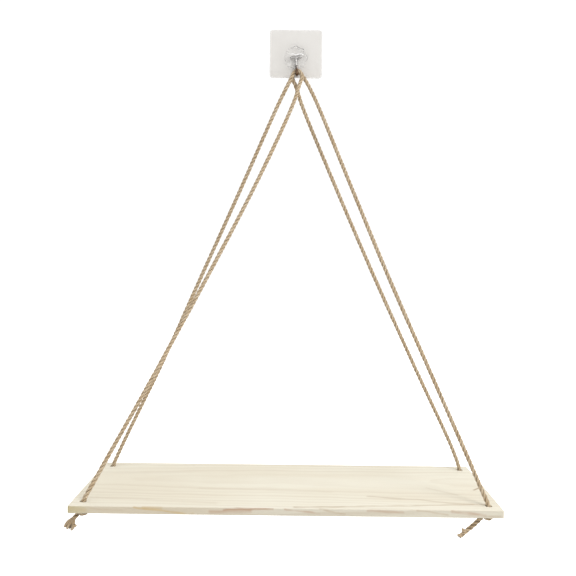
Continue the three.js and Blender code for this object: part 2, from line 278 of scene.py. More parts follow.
class Wiring:
    """Adds nodes to one tree. An input is given as a value, or as the socket that it is linked from."""

    def __init__(self, tree):
        self.tree = tree

    def join(self, value, socket):
        if isinstance(value, bpy.types.NodeSocket):
            self.tree.links.new(value, socket)
        else:
            socket.default_value = value

    def add(self, kind, inputs=None, **settings):
        node = self.tree.nodes.new(kind)
        for name, value in settings.items():
            setattr(node, name, value)
        for key, value in (inputs or {}).items():
            self.join(value, node.inputs[key])
        return node

    def math(self, operation, first, second=0.0, clamp=False):
        node = self.add("ShaderNodeMath", {0: first, 1: second}, operation=operation, use_clamp=clamp)
        return node.outputs[0]

    def times(self, first, second):
        return self.math("MULTIPLY", first, second)

    def vector(self, operation, first, second=(0, 0, 0)):
        return self.add("ShaderNodeVectorMath", {0: first, 1: second}, operation=operation).outputs[0]

    def measure(self, operation, first, second=(0, 0, 0)):
        return self.add("ShaderNodeVectorMath", {0: first, 1: second}, operation=operation).outputs["Value"]

    def scaled(self, vector, scale):
        return self.add("ShaderNodeVectorMath", {0: vector, "Scale": scale}, operation="SCALE").outputs[0]

    def parts(self, vector):
        return self.add("ShaderNodeSeparateXYZ", {0: vector}).outputs

    def together(self, x, y, z):
        return self.add("ShaderNodeCombineXYZ", {"X": x, "Y": y, "Z": z}).outputs[0]

    def noise(self, place, scale, detail=2.0, roughness=0.5, output="Fac"):
        inputs = {"Vector": place, "Scale": scale, "Detail": detail, "Roughness": roughness}
        return self.add("ShaderNodeTexNoise", inputs).outputs[output]

    def spread(self, value, low, high, to_low=0.0, to_high=1.0, kind="SMOOTHSTEP"):
        """The value, moved from the range low to high onto the range to_low to to_high."""
        inputs = {"Value": value, "From Min": low, "From Max": high, "To Min": to_low, "To Max": to_high}
        return self.add("ShaderNodeMapRange", inputs, interpolation_type=kind).outputs["Result"]

    def blend(self, factor, first, second, kind="MIX"):
        node = self.add("ShaderNodeMix", {0: factor}, data_type="RGBA", blend_type=kind)
        for index, colour in ((6, first), (7, second)):
            linked = isinstance(colour, bpy.types.NodeSocket)
            self.join(colour if linked else (*colour, 1), node.inputs[index])
        return node.outputs[2]

    def bump(self, height, strength, depth):
        inputs = {"Strength": strength, "Distance": depth * MM, "Height": height}
        return self.add("ShaderNodeBump", inputs).outputs[0]

    def squareness(self, axis):
        """How squarely the surface faces along an axis, from zero to one."""
        normal = self.add("ShaderNodeNewGeometry").outputs["Normal"]
        return self.math("ABSOLUTE", self.parts(normal)[axis])


def new_group(name, inputs, outputs):
    """An empty shader node group with these named sockets, its wiring, and the sockets at its two ends."""
    group = bpy.data.node_groups.new(name, "ShaderNodeTree")
    for direction, sockets in (("INPUT", inputs), ("OUTPUT", outputs)):
        for title, kind, value in sockets:
            socket = group.interface.new_socket(title, in_out=direction, socket_type="NodeSocket" + kind)
            if value is not None:
                socket.default_value = value
    wiring = Wiring(group)
    start = wiring.add("NodeGroupInput")
    end = wiring.add("NodeGroupOutput")
    return group, wiring, start.outputs, end.inputs


def place_group(wiring, group, **inputs):
    """The outputs of a placed group. Its inputs are given by name, and an underscore stands for a space."""
    named = {name.replace("_", " "): value for name, value in inputs.items()}
    return wiring.add("ShaderNodeGroup", named, node_tree=group).outputs


def new_material(name, **shader_values):
    """A material, its wiring and its Principled shader's sockets, on which the even values are set."""
    material = bpy.data.materials.new(name)
    material.use_nodes = True
    shader = material.node_tree.nodes["Principled BSDF"].inputs
    for socket, value in shader_values.items():
        shader[socket.replace("_", " ")].default_value = value
    return material, Wiring(material.node_tree), shader


# Shared effects

def make_patches_group():
    """Soft uneven patches and fine specks, as a value about zero. Each material sets their size."""
    inputs = [("Vector", "Vector", None), ("Patch Size", "Float", 30.0), ("Speck Size", "Float", 1.0)]
    outputs = [("Patches", "Float", None), ("Specks", "Float", None)]
    group, wiring, start, end = new_group("uneven_patches", inputs, outputs)
    for size, output, detail in (("Patch Size", "Patches", 3.0), ("Speck Size", "Specks", 1.0)):
        value = wiring.noise(start["Vector"], wiring.math("DIVIDE", 1.0, start[size]), detail)
        wiring.join(wiring.times(wiring.math("SUBTRACT", value, 0.5), 2.0), end[output])
    return group


def make_streaks_group():
    """Fine streaks that run along the third axis of the vector: wood pores and jute fibres."""
    inputs = [("Vector", "Vector", None), ("Across", "Float", 1.0), ("Along", "Float", 20.0)]
    group, wiring, start, end = new_group("fine_streaks", inputs, [("Streaks", "Float", None)])
    across = wiring.math("DIVIDE", 1.0, start["Across"])
    along = wiring.math("DIVIDE", 1.0, start["Along"])
    place = wiring.vector("MULTIPLY", start["Vector"], wiring.together(across, across, along))
    value = wiring.noise(place, 1.0, 3.0, 0.6)
    wiring.join(wiring.spread(value, 0.3, 0.7, kind="LINEAR"), end["Streaks"])
    return group


def make_mark_group():
    """A soft mark along a straight line between two points: one on the line, and zero away from it."""
    ends = [("From", "Vector", None), ("To", "Vector", None)]
    inputs = [("Vector", "Vector", None), *ends, ("Width", "Float", 1.0)]
    group, wiring, start, end = new_group("line_mark", inputs, [("Mark", "Float", None)])
    run = wiring.vector("SUBTRACT", start["To"], start["From"])
    offset = wiring.vector("SUBTRACT", start["Vector"], start["From"])
    reached = wiring.measure("DOT_PRODUCT", offset, run)
    whole = wiring.measure("DOT_PRODUCT", run, run)
    share = wiring.math("DIVIDE", reached, whole, clamp=True)
    away = wiring.measure("DISTANCE", offset, wiring.scaled(run, share))
    near = wiring.math("DIVIDE", away, start["Width"])
    wiring.join(wiring.spread(near, 1.0, 0.0), end["Mark"])
    return group


HEART_LEAN_Y = 0.012
HEART_LEAN_Z = -0.02
RING_SWAY = (0.011, 0.03, 0.05)


def make_rings_group():
    """Growth rings about a heart line that runs nearly along X, as their dark lines and a slow tone."""
    heart = [("Heart Y", "Float", -60.0), ("Heart Z", "Float", -520.0)]
    inputs = [("Vector", "Vector", None), *heart, ("Ring Width", "Float", 5.0), ("Waviness", "Float", 3.0)]
    outputs = [("Lines", "Float", None), ("Tone", "Float", None)]
    group, wiring, start, end = new_group("growth_rings", inputs, outputs)
    x, y, z = wiring.parts(start["Vector"])
    from_y = wiring.math("ADD", wiring.math("SUBTRACT", y, start["Heart Y"]), wiring.times(x, HEART_LEAN_Y))
    from_z = wiring.math("ADD", wiring.math("SUBTRACT", z, start["Heart Z"]), wiring.times(x, HEART_LEAN_Z))
    radius = wiring.measure("LENGTH", wiring.together(0.0, from_y, from_z))
    slow = wiring.vector("MULTIPLY", start["Vector"], RING_SWAY)
    sway = wiring.math("SUBTRACT", wiring.noise(slow, 1.0), 0.5)
    swayed = wiring.math("ADD", radius, wiring.times(sway, start["Waviness"]))
    phase = wiring.math("DIVIDE", swayed, start["Ring Width"])
    whole = wiring.math("FLOOR", phase)
    within = wiring.math("SUBTRACT", phase, whole)
    rise = wiring.spread(within, 0.35, 0.9)
    fall = wiring.spread(within, 1.0, 0.92)
    one_ring = wiring.add("ShaderNodeTexWhiteNoise", {"W": whole}, noise_dimensions="1D").outputs["Value"]
    strength = wiring.spread(one_ring, 0.0, 1.0, 0.25, 1.0, "LINEAR")
    wiring.join(wiring.times(wiring.times(rise, fall), strength), end["Lines"])
    wiring.join(wiring.noise(wiring.vector("MULTIPLY", slow, (0.6, 1.0, 1.0)), 1.0, 1.0), end["Tone"])
    return group


# Materials. A pair of colours is the darker and the paler tone of one finish.

def scaled_place(wiring):
    """The place on the object in millimetres, from its own coordinates in metres."""
    return wiring.scaled(wiring.add("ShaderNodeTexCoord").outputs["Object"], 1 / MM)


def finish(wiring, shader, **looks):
    """Links what changes over a surface to its shader. An underscore stands for a space."""
    for name, value in looks.items():
        wiring.join(value, shader[name.replace("_", " ")])


def two_toned(name, patches, patch_size, speck_size, tones, **shader_values):
    """A material that drifts between two tones: with its wiring and shader, its place, patches and colour."""
    material, wiring, shader = new_material(name, **shader_values)
    place = scaled_place(wiring)
    uneven = place_group(wiring, patches, Vector=place, Patch_Size=patch_size, Speck_Size=speck_size)
    colour = wiring.blend(wiring.spread(uneven["Patches"], -0.6, 0.6), *tones)
    return material, wiring, shader, place, uneven, colour


WOOD_TONES = ((0.735, 0.688, 0.567), (0.77, 0.735, 0.622))
WOOD_LINES = (0.53, 0.45, 0.33)
WOOD_PORES = (0.5, 0.42, 0.3)
WOOD_PATCHES = (0.97, 0.95, 0.93)
SAWN_EDGE = (0.79, 0.778, 0.765)
# Painted shade that darkens the sawn faces towards the left.
SAWN_LEFT_PAINTED_SHADE = (0.94, 0.9, 0.85)
END_GRAIN = (0.87, 0.87, 0.72)
HOLE_RIM = (0.88, 0.83, 0.7)
HOLE_WEAR = 2.6
GRAIN_DRIFT = (0, 7, 3.5)
GRAIN_DRIFT_SCALE = (0.045, 0.16, 0.16)
BROWN_GRAIN = (0.42, 0.32, 0.21)
RED_GRAIN = (0.4, 0.25, 0.16)
OCHRE_GRAIN = (0.5, 0.36, 0.16)

# Marks on the board: the points that each one runs through, its width, its strength and its colour. The
# points are x and y on the board's top, and x and z on its sawn front edge. All but the short mark follow
# the grain, and the grain's drift moves them. The short mark is a dark dash on the top, seen beside the
# right rope.
TOP_MARKS = [
    ([(3, -146), (54, -142), (120, -137.5), (171, -132), (184, -133)], 2.7, 0.6, BROWN_GRAIN),
    ([(74, -112), (120, -119), (147, -129.5), (170, -131.5)], 3.0, 0.4, BROWN_GRAIN),
    ([(136, -82), (161, -104)], 4.0, 0.16, BROWN_GRAIN),
    ([(-191, -123.5), (-123, -130), (-71, -137)], 4.5, 0.15, BROWN_GRAIN),
    ([(-90, -91), (38, -99)], 5.0, 0.12, BROWN_GRAIN),
    ([(147, -1), (156, -1.5)], 1.2, 0.5, BROWN_GRAIN),
]
SHORT_MARKS = [([(182, -86.9), (190.1, -78.1)], 2.2, 0.95, BROWN_GRAIN)]
FRONT_MARKS = [
    ([(-204, -452.6), (-189, -454)], 3.2, 0.3, OCHRE_GRAIN),
    ([(-184, -452.2), (-155, -453.7)], 1.3, 0.26, BROWN_GRAIN),
    ([(-136, -450.4), (-119, -451.4)], 2.2, 0.5, OCHRE_GRAIN),
    ([(-144, -450.6), (-102, -455.1), (-90, -456.2)], 1.7, 0.62, OCHRE_GRAIN),
    ([(-74, -454), (-38, -452.4)], 3.2, 0.5, RED_GRAIN),
    ([(-62, -451.9), (-17, -450.9)], 1.5, 0.8, RED_GRAIN),
    ([(-6, -450.9), (26, -455)], 1.5, 0.62, RED_GRAIN),
    ([(26, -450.8), (49, -454.1)], 1.5, 0.52, BROWN_GRAIN),
    ([(70, -451.6), (102, -452.2)], 2.2, 0.48, RED_GRAIN),
    ([(115, -450.4), (143, -454.3)], 1.6, 0.42, BROWN_GRAIN),
    ([(147, -450.6), (177, -455)], 2.5, 0.58, RED_GRAIN),
    ([(176, -455.2), (191, -455)], 1.9, 0.46, BROWN_GRAIN),
]


def on_top(x, y):
    """A place on the board's top."""
    return x, y, BOARD_TOP_Z


def on_front(x, z):
    """A place on the board's sawn front edge."""
    return x, -BOARD_DEPTH, z


def marked(wiring, mark, place, colour, rows, on_board):
    """The colour with marks of the grain on it. on_board turns a pair of numbers of a row into a place."""
    for points, width, strength, tint in rows:
        shown = 0.0
        corners = [on_board(*point) for point in points]
        for start, stop in zip(corners, corners[1:]):
            line = place_group(wiring, mark, Vector=place, From=start, To=stop, Width=width)["Mark"]
            shown = wiring.math("MAXIMUM", line, shown)
        colour = wiring.blend(wiring.times(shown, strength), colour, tint)
    return colour


def make_wood(patches, streaks, mark, rings):
    """Pale dry softwood with faint lengthwise lines on its long faces. Its sawn edges are a shade darker."""
    wood, wiring, shader = new_material("pale_softwood", Specular_IOR_Level=0.28)
    place = scaled_place(wiring)
    x, y, z = wiring.parts(place)
    ring = place_group(wiring, rings, Vector=place, Ring_Width=5.6, Waviness=9.0)
    turned = wiring.together(y, z, x)
    pores = place_group(wiring, streaks, Vector=turned, Across=0.45, Along=26.0)["Streaks"]
    uneven = place_group(wiring, patches, Vector=place, Patch_Size=70.0, Speck_Size=2.2)
    colour = wiring.blend(wiring.spread(ring["Tone"], 0.35, 0.65), *WOOD_TONES)
    colour = wiring.blend(wiring.times(ring["Lines"], 0.3), colour, WOOD_LINES)
    colour = wiring.blend(wiring.times(pores, 0.14), colour, WOOD_PORES)
    sawn = wiring.spread(wiring.squareness("Z"), 0.75, 0.35)
    # Painted shade: the sawn faces grow darker towards the left, away from the light.
    duller = wiring.times(sawn, wiring.spread(x, 20.0, -120.0))
    end_grain = wiring.times(sawn, wiring.spread(x, -178.0, -203.0))
    for share, tint in ((sawn, SAWN_EDGE), (duller, SAWN_LEFT_PAINTED_SHADE), (end_grain, END_GRAIN)):
        colour = wiring.blend(share, colour, tint, "MULTIPLY")
    drift = wiring.noise(wiring.vector("MULTIPLY", place, GRAIN_DRIFT_SCALE), 1.0, output="Color")
    centred = wiring.vector("SUBTRACT", drift, (0.5, 0.5, 0.5))
    wavy = wiring.vector("ADD", place, wiring.vector("MULTIPLY", centred, GRAIN_DRIFT))
    colour = marked(wiring, mark, wavy, colour, TOP_MARKS, on_top)
    colour = marked(wiring, mark, place, colour, SHORT_MARKS, on_top)
    colour = marked(wiring, mark, wavy, colour, FRONT_MARKS, on_front)
    rim = HOLE_RADIUS + HOLE_WEAR
    for hole in hole_centres().values():
        high = (*hole, BOARD_TOP_Z + 1)
        low = (*hole, BOARD_UNDERSIDE_Z - 1)
        worn = place_group(wiring, mark, Vector=place, From=high, To=low, Width=rim)["Mark"]
        colour = wiring.blend(wiring.times(worn, 0.9), colour, HOLE_RIM)
    height = wiring.math("SUBTRACT", wiring.times(uneven["Specks"], 0.25), pores)
    height = wiring.math("SUBTRACT", height, wiring.times(ring["Lines"], 0.8))
    shade = wiring.spread(uneven["Patches"], -0.5, 0.5, 0.0, 0.5)
    finish(
        wiring, shader,
        Base_Color=wiring.blend(shade, colour, WOOD_PATCHES, "MULTIPLY"),
        Roughness=wiring.math("ADD", wiring.times(pores, 0.14), 0.6),
        Normal=wiring.bump(height, 0.35, 0.06),
    )
    return wood


JUTE_FIBRES = ((0.235, 0.148, 0.075), (0.68, 0.555, 0.385))
JUTE_YARNS = (0.78, 0.67, 0.5)
JUTE_PAINTED_SHADE = (0.085, 0.05, 0.024)
JUTE_PATCHES = (0.84, 0.75, 0.62)


def make_jute(patches, streaks):
    """Jute: tan fibres along each strand, with painted shade where the strands meet and at cut ends."""
    jute, wiring, shader = new_material(
        "laid_jute", Specular_IOR_Level=0.2, Sheen_Weight=0.25, Sheen_Roughness=0.5,
    )
    lay = wiring.add("ShaderNodeAttribute", attribute_name="lay").outputs["Vector"]
    outward = wiring.add("ShaderNodeAttribute", attribute_name="outward").outputs["Fac"]
    fibres = place_group(wiring, streaks, Vector=lay, Across=0.16, Along=5.5)["Streaks"]
    yarns = place_group(wiring, streaks, Vector=lay, Across=0.42, Along=22.0)["Streaks"]
    uneven = place_group(wiring, patches, Vector=scaled_place(wiring), Patch_Size=9.0, Speck_Size=0.8)
    colour = wiring.blend(fibres, *JUTE_FIBRES)
    colour = wiring.blend(wiring.times(yarns, 0.48), colour, JUTE_YARNS)
    # Painted shade in the grooves between strands, at cut ends, along the tails under the board and between
    # loose strands.
    colour = wiring.blend(wiring.spread(outward, 0.7, -0.65, 0.0, 0.9), colour, JUTE_PAINTED_SHADE)
    shade = wiring.spread(uneven["Patches"], -0.6, 0.6, 0.0, 0.75)
    height = wiring.math("ADD", fibres, wiring.times(yarns, 1.6))
    height = wiring.math("ADD", height, wiring.times(uneven["Specks"], 0.3))
    finish(
        wiring, shader,
        Base_Color=wiring.blend(shade, colour, JUTE_PATCHES, "MULTIPLY"),
        Roughness=wiring.spread(fibres, 0.0, 1.0, 0.95, 0.78, "LINEAR"),
        Normal=wiring.bump(height, 0.8, 0.14),
    )
    return jute


MILKY_TONES = ((0.637, 0.615, 0.586), (0.66, 0.643, 0.615))
MILKY_RIM = (0.76, 0.75, 0.735)
CLEAR_TONES = ((0.84, 0.83, 0.815), (0.9, 0.89, 0.875))
CLEAR_SIDE_PAINTED_SHADE = (0.28, 0.275, 0.27)
CLEAR_ALPHA = 0.1
# Directions in which the boss's painted side shade is strongest.
UPPER_RIGHT = (0.55, 0, 0.84)
LEFT = (-0.98, 0, -0.2)
LIP_PAINTED_HIGHLIGHT_TONES = ((0.78, 0.775, 0.765), (0.86, 0.855, 0.845))


def gloss(wiring, uneven, low, high):
    """The roughness of a glossy plastic, a little uneven."""
    return wiring.spread(uneven["Specks"], -0.6, 0.6, low, high, "LINEAR")


def make_pad_plastic(patches):
    """The milky plastic sheet of the pad, with a clearer rim past its adhesive."""
    plastic, wiring, shader, place, uneven, colour = two_toned(
        "milky_plastic", patches, 22.0, 0.5, MILKY_TONES,
        Specular_IOR_Level=0.5, Coat_Weight=0.35, Coat_Roughness=0.08,
    )
    x, _, z = wiring.parts(place)
    side = wiring.math("SUBTRACT", PAD_WIDTH / 2, wiring.math("ABSOLUTE", x))
    end = wiring.math("SUBTRACT", PAD_HEIGHT / 2, wiring.math("ABSOLUTE", z))
    rim = wiring.spread(wiring.math("MINIMUM", side, end), 2.0, 0.9)
    finish(
        wiring, shader,
        Base_Color=wiring.blend(wiring.times(rim, 0.5), colour, MILKY_RIM),
        Roughness=gloss(wiring, uneven, 0.2, 0.3),
        Normal=wiring.bump(uneven["Patches"], 0.15, 0.05),
    )
    return plastic


def make_boss_plastic(patches):
    """The boss's clear plastic. It shades nothing, and painted shade greys its sides, most at the upper
    right.
    """
    plastic, wiring, shader, place, uneven, colour = two_toned(
        "clear_plastic", patches, 6.0, 0.4, CLEAR_TONES,
        Specular_IOR_Level=0.5, Coat_Weight=0.3, Coat_Roughness=0.05,
    )
    from_middle = wiring.vector("SUBTRACT", place, (0, 0, BOSS_CENTRE_Z))
    radius = wiring.measure("LENGTH", wiring.vector("MULTIPLY", from_middle, (1, 0, 1)))
    outer = wiring.spread(radius, BOSS_RADIUS - 2.4, BOSS_RADIUS - 1.2)
    side = wiring.times(wiring.spread(wiring.squareness("Y"), 0.85, 0.3), outer)
    upper_right = wiring.measure("DOT_PRODUCT", from_middle, UPPER_RIGHT)
    left = wiring.measure("DOT_PRODUCT", from_middle, LEFT)
    # Painted shade on the side walls, strongest towards the upper right and the left.
    edge = wiring.math(
        "MAXIMUM",
        wiring.spread(upper_right, 3.0, BOSS_RADIUS - 1, 0.2, 0.75),
        wiring.spread(left, 5.0, BOSS_RADIUS - 1, 0.2, 0.42),
    )
    alpha = wiring.math("ADD", wiring.times(side, edge), CLEAR_ALPHA)
    shadow = wiring.add("ShaderNodeLightPath").outputs["Is Shadow Ray"]
    finish(
        wiring, shader,
        Base_Color=wiring.blend(side, colour, CLEAR_SIDE_PAINTED_SHADE),
        Alpha=wiring.times(alpha, wiring.math("SUBTRACT", 1.0, shadow)),
        Roughness=gloss(wiring, uneven, 0.08, 0.16),
        Normal=wiring.bump(uneven["Patches"], 0.12, 0.05),
    )
    return plastic


def make_lip_plastic(patches):
    """The same plastic where it folds over the wire's cross bar, glossy and near white as a painted
    highlight.
    """
    plastic, wiring, shader, _, uneven, colour = two_toned(
        "lip_painted_highlight", patches, 3.0, 0.4, LIP_PAINTED_HIGHLIGHT_TONES,
        Specular_IOR_Level=0.6, Coat_Weight=0.5, Coat_Roughness=0.05,
    )
    # Painted highlight: the lip is drawn near white.
    finish(wiring, shader, Base_Color=colour, Roughness=gloss(wiring, uneven, 0.1, 0.2))
    return plastic


STEEL_TONES = ((0.4, 0.385, 0.37), (0.56, 0.545, 0.53))
STEEL_SIDE_PAINTED_SHADE = (0.12, 0.095, 0.08)
STEEL_FRONT_PAINTED_SHADE = (0.42, 0.38, 0.36)
STEEL_ROPE_PAINTED_REFLECTION = (0.15, 0.09, 0.05)


def make_steel(patches, streaks):
    """Bright drawn steel wire, with fine marks along it. Painted shade darkens its sides more than its face
    to the room.
    """
    steel, wiring, shader, place, _, colour = two_toned(
        "drawn_steel", patches, 3.0, 0.3, STEEL_TONES, Metallic=1.0,
    )
    drawn = place_group(wiring, streaks, Vector=place, Across=0.12, Along=4.0)["Streaks"]
    # Painted shade on the wire's sides.
    dull = wiring.spread(wiring.squareness("Y"), 0.93, 0.6)
    colour = wiring.blend(wiring.times(dull, 0.88), colour, STEEL_SIDE_PAINTED_SHADE)
    _, y, z = wiring.parts(place)
    # Painted shade on the front of the J, towards the room.
    front_painted_shade = wiring.times(wiring.spread(y, -13.0, -16.0), 0.75)
    colour = wiring.blend(front_painted_shade, colour, STEEL_FRONT_PAINTED_SHADE, "MULTIPLY")
    # Painted brown reflection of the ropes, low on the J.
    rope_painted_reflection = wiring.times(wiring.spread(z, -18.4, -20.6), 0.9)
    finish(
        wiring, shader,
        Base_Color=wiring.blend(rope_painted_reflection, colour, STEEL_ROPE_PAINTED_REFLECTION),
        Roughness=wiring.spread(drawn, 0.0, 1.0, 0.16, 0.32, "LINEAR"),
        Normal=wiring.bump(drawn, 0.2, 0.02),
    )
    return steel


# Mesh helpers

LINE_BETWEEN = 40
MERGE_DISTANCE = 1e-7


def mesh_piece(name, points, faces, material, smooth=None):
    """A mesh object from points in millimetres. smooth is True for each face that is shaded smooth."""
    mesh = bpy.data.meshes.new(name)
    mesh.from_pydata((np.asarray(points, float) * MM).tolist(), [], faces)
    if smooth is None:
        smooth = [True] * len(faces)
    mesh.polygons.foreach_set("use_smooth", smooth)
    mesh.materials.append(material)
    mesh.update()
    piece = bpy.data.objects.new(name, mesh)
    bpy.context.scene.collection.objects.link(piece)
    return piece


def wall(rings):
    """The four-sided faces between rings of points that follow each other."""
    count, sides = rings.shape[:2]
    here = np.arange(sides)
    after = (here + 1) % sides
    rows = (np.arange(count - 1) * sides)[:, None]
    quads = np.stack([rows + here, rows + after, rows + sides + after, rows + sides + here], axis=-1)
    return quads.reshape(-1, 4)


def skin(rings):
    """The faces over rings of points that follow each other, closed at both ends."""
    count, sides = rings.shape[:2]
    faces = wall(rings).tolist()
    faces.append(list(range(sides - 1, -1, -1)))
    faces.append(list(range((count - 1) * sides, count * sides)))
    return faces


def gathered(parts):
    """Several (points, faces) as one list of points and one of faces."""
    points = []
    faces = []
    start = 0
    for part_points, part_faces in parts:
        points.append(np.asarray(part_points, float).reshape(-1, 3))
        faces.extend([[index + start for index in face] for face in part_faces])
        start += len(points[-1])
    return np.concatenate(points), faces


def smooth_line(points, between=LINE_BETWEEN):
    """A fine line through the points: a centripetal Catmull-Rom curve."""
    points = np.asarray(points, float)
    before = 2 * points[0] - points[1]
    after = 2 * points[-1] - points[-2]
    padded = np.vstack([before, points, after])
    share = (np.arange(between) / between)[:, None]
    line = []
    for p0, p1, p2, p3 in zip(padded, padded[1:], padded[2:], padded[3:]):
        gap0, gap1, gap2 = (math.sqrt(np.linalg.norm(b - a)) for a, b in ((p0, p1), (p1, p2), (p2, p3)))
        leave = ((p1 - p0) / gap0 - (p2 - p0) / (gap0 + gap1) + (p2 - p1) / gap1) * gap1
        arrive = ((p2 - p1) / gap1 - (p3 - p1) / (gap1 + gap2) + (p3 - p2) / gap2) * gap1
        square = -3 * p1 + 3 * p2 - 2 * leave - arrive
        cube = 2 * p1 - 2 * p2 + leave + arrive
        line.append(p1 + leave * share + square * share**2 + cube * share**3)
    return np.vstack([*line, points[-1]])


def lengths_along(line):
    """How far along a line each of its points is."""
    return np.concatenate([[0], np.cumsum(np.linalg.norm(np.diff(line, axis=0), axis=1))])


def evenly(line, step):
    """The line again, with points an even step apart, and how far along it each one is."""
    reached = lengths_along(line)
    count = max(int(round(reached[-1] / step)), 4)
    along = np.linspace(0, reached[-1], count + 1)
    return np.stack([np.interp(along, reached, line[:, axis]) for axis in range(3)], axis=1), along


def directions(line):
    """The direction of a line at each of its points."""
    run = np.gradient(line, axis=0)
    return run / np.linalg.norm(run, axis=1, keepdims=True)


def frames_along(line):
    """Two directions square to the line at each point, which turn as little as they can along it."""
    ahead = directions(line)
    start = np.array([1.0, 0, 0]) if abs(ahead[0][0]) < 0.8 else np.array([0, 1.0, 0])
    normal = np.cross(ahead[0], start)
    normal /= np.linalg.norm(normal)
    normals = [normal]
    for direction in ahead[1:]:
        normal = normal - direction * np.dot(normal, direction)
        normal = normal / np.linalg.norm(normal)
        normals.append(normal)
    normals = np.array(normals)
    return normals, np.cross(ahead, normals), ahead


def turned_out(normals, across, turn):
    """The direction out from each point of a line, at that point's turn about the line."""
    return normals * np.cos(turn)[:, None] + across * np.sin(turn)[:, None]


def all_round(out, side, sides):
    """The angles round a line, and the directions that they give at each of its points, from out to side."""
    angles = np.arange(sides) / sides * FULL_TURN
    turned = out[:, None] * np.cos(angles)[None, :, None] + side[:, None] * np.sin(angles)[None, :, None]
    return angles, turned


def tube(line, radii, sides):
    """Rings of a round tube along a line, with a radius for each point."""
    normals, across, _ = frames_along(line)
    _, out = all_round(normals, across, sides)
    return line[:, None] + out * np.asarray(radii, float)[:, None, None]


def wander(along, period, seed):
    """A slow uneven value between about -1 and 1, along a length."""
    draws = random.Random(seed)
    value = np.zeros(len(along))
    for part in range(1, 5):
        length = period / part * draws.uniform(0.8, 1.25)
        value += np.sin(along / length * FULL_TURN + draws.uniform(0, FULL_TURN)) / part
    return value / 2


# The ropes

def hole_centres():
    """The middle of each hole, by name."""
    reach = BOARD_WIDTH / 2 - HOLE_END_INSET
    left = BOARD_CENTRE_X - reach
    right = BOARD_CENTRE_X + reach
    back = -HOLE_EDGE_INSET
    front = HOLE_EDGE_INSET - BOARD_DEPTH
    return {
        "back_left": (left, back),
        "front_left": (left, front),
        "back_right": (right, back),
        "front_right": (right, front),
    }


def knot_points(hole, heading):
    """An overhand knot as part of a winding on a ring. It starts in the hole and leaves along the heading."""
    rounds = np.linspace(KNOT_START, KNOT_END, KNOT_POINTS)
    along = rounds / KNOT_TUBE_TURNS
    radius = KNOT_RING + KNOT_TUBE_ACROSS * np.cos(rounds)
    flat = [radius * np.cos(along), radius * np.sin(along)]
    winding = np.stack([*flat, KNOT_TUBE_UP * np.sin(rounds)], axis=1)
    lead = (winding[1] - winding[0]) * KNOT_LEAD
    leave = winding[-1] - winding[-2]
    turn = math.radians(heading) - math.atan2(leave[1], leave[0])
    leave[2] = 0
    last = winding[-1] + leave / np.linalg.norm(leave) * KNOT_LEAVE - np.array([0, 0, KNOT_DIP])
    centre = (winding[0] - lead)[:2]
    in_hole = [[*centre, up] for up in (KNOT_HOLE_HIGH, KNOT_HOLE_LOW)]
    points = np.vstack([in_hole, winding, last])
    points[:, :2] -= centre
    cos, sin = math.cos(turn), math.sin(turn)
    turned = points @ np.array([[cos, sin, 0], [-sin, cos, 0], [0, 0, 1]])
    return turned * KNOT_PITCH + np.array([*hole, KNOT_PLANE_Z])


def from_hole(hole, points):
    """Points that are given from a hole's middle in the underside."""
    return np.asarray(points, float) + np.array([*hole, BOARD_UNDERSIDE_Z])


def rope_route(back_name, front_name, hang):
    """A rope's whole route from tail to tail, and the first and last point of each knot's winding."""
    holes = hole_centres()
    ends = []
    for name in (back_name, front_name):
        knot = knot_points(holes[name], TAILS[name]["heading"])
        ends.append(np.vstack([knot, from_hole(holes[name], TAILS[name]["run"])]))
    route = np.vstack([ends[0][::-1], hang, ends[1]])
    back = len(TAILS[back_name]["run"]) + 1
    front = len(route) - 1 - KNOT_POINTS - len(TAILS[front_name]["run"])
    return route, [(first, first + KNOT_POINTS - 1) for first in (back, front)]


def squeeze_at(along, knots):
    """How much thinner the rope is at each length along it: it is pulled tight in its knots."""
    away = np.full(len(along), np.inf)
    for first, last in knots:
        away = np.minimum(away, np.maximum(first - along, along - last))
    share = np.clip(away / KNOT_FADE, 0, 1)
    share = share * share * (3 - 2 * share)
    return KNOT_SQUEEZE + (1 - KNOT_SQUEEZE) * share


def laid_strand(line, along, thin, number, seed):
    """One strand of a laid rope: its rings, its fibre coordinates and how far each point faces out."""
    normals, across, _ = frames_along(line)
    sway = LAY_SWAY * wander(along, LAY_SWAY_LENGTH, seed)
    turn = along / ROPE_LAY * FULL_TURN + number / ROPE_STRANDS * FULL_TURN + sway
    out = turned_out(normals, across, turn)
    width = STRAND_RADIUS * thin * (1 + STRAND_SWELL * wander(along, STRAND_SWELL_LENGTH, seed + 1))
    shift = STRAND_SWELL * wander(along, STRAND_SHIFT_LENGTH, seed + 2)
    reach = (ROPE_RADIUS * thin - width) * (1 + shift)
    centre = line + out * reach[:, None]
    own_ahead = directions(centre)
    own_out = out - own_ahead * np.sum(out * own_ahead, axis=1, keepdims=True)
    own_out /= np.linalg.norm(own_out, axis=1, keepdims=True)
    own_side = np.cross(own_ahead, own_out)
    angles, facing = all_round(own_out, own_side, STRAND_SIDES)
    length = along * math.hypot(1, FULL_TURN * reach.mean() / ROPE_LAY)
    fibre_turn = angles[None, :] + length[:, None] / YARN_LAY * FULL_TURN
    ridges = YARN_RIDGE * np.cos(2 * fibre_turn + seed)
    ridges = ridges + FINE_YARN_RIDGE * np.cos(4 * fibre_turn + 2 * seed)
    rings = centre[:, None] + facing * (width[:, None] * (1 + ridges))[:, :, None]
    rows = np.broadcast_to(length[:, None] + STRANDS_APART * number, fibre_turn.shape)
    lay = np.stack([np.cos(fibre_turn) * STRAND_RADIUS, np.sin(fibre_turn) * STRAND_RADIUS, rows], axis=-1)
    outward = np.broadcast_to(np.cos(angles)[None, :], fibre_turn.shape)
    return rings, lay, outward


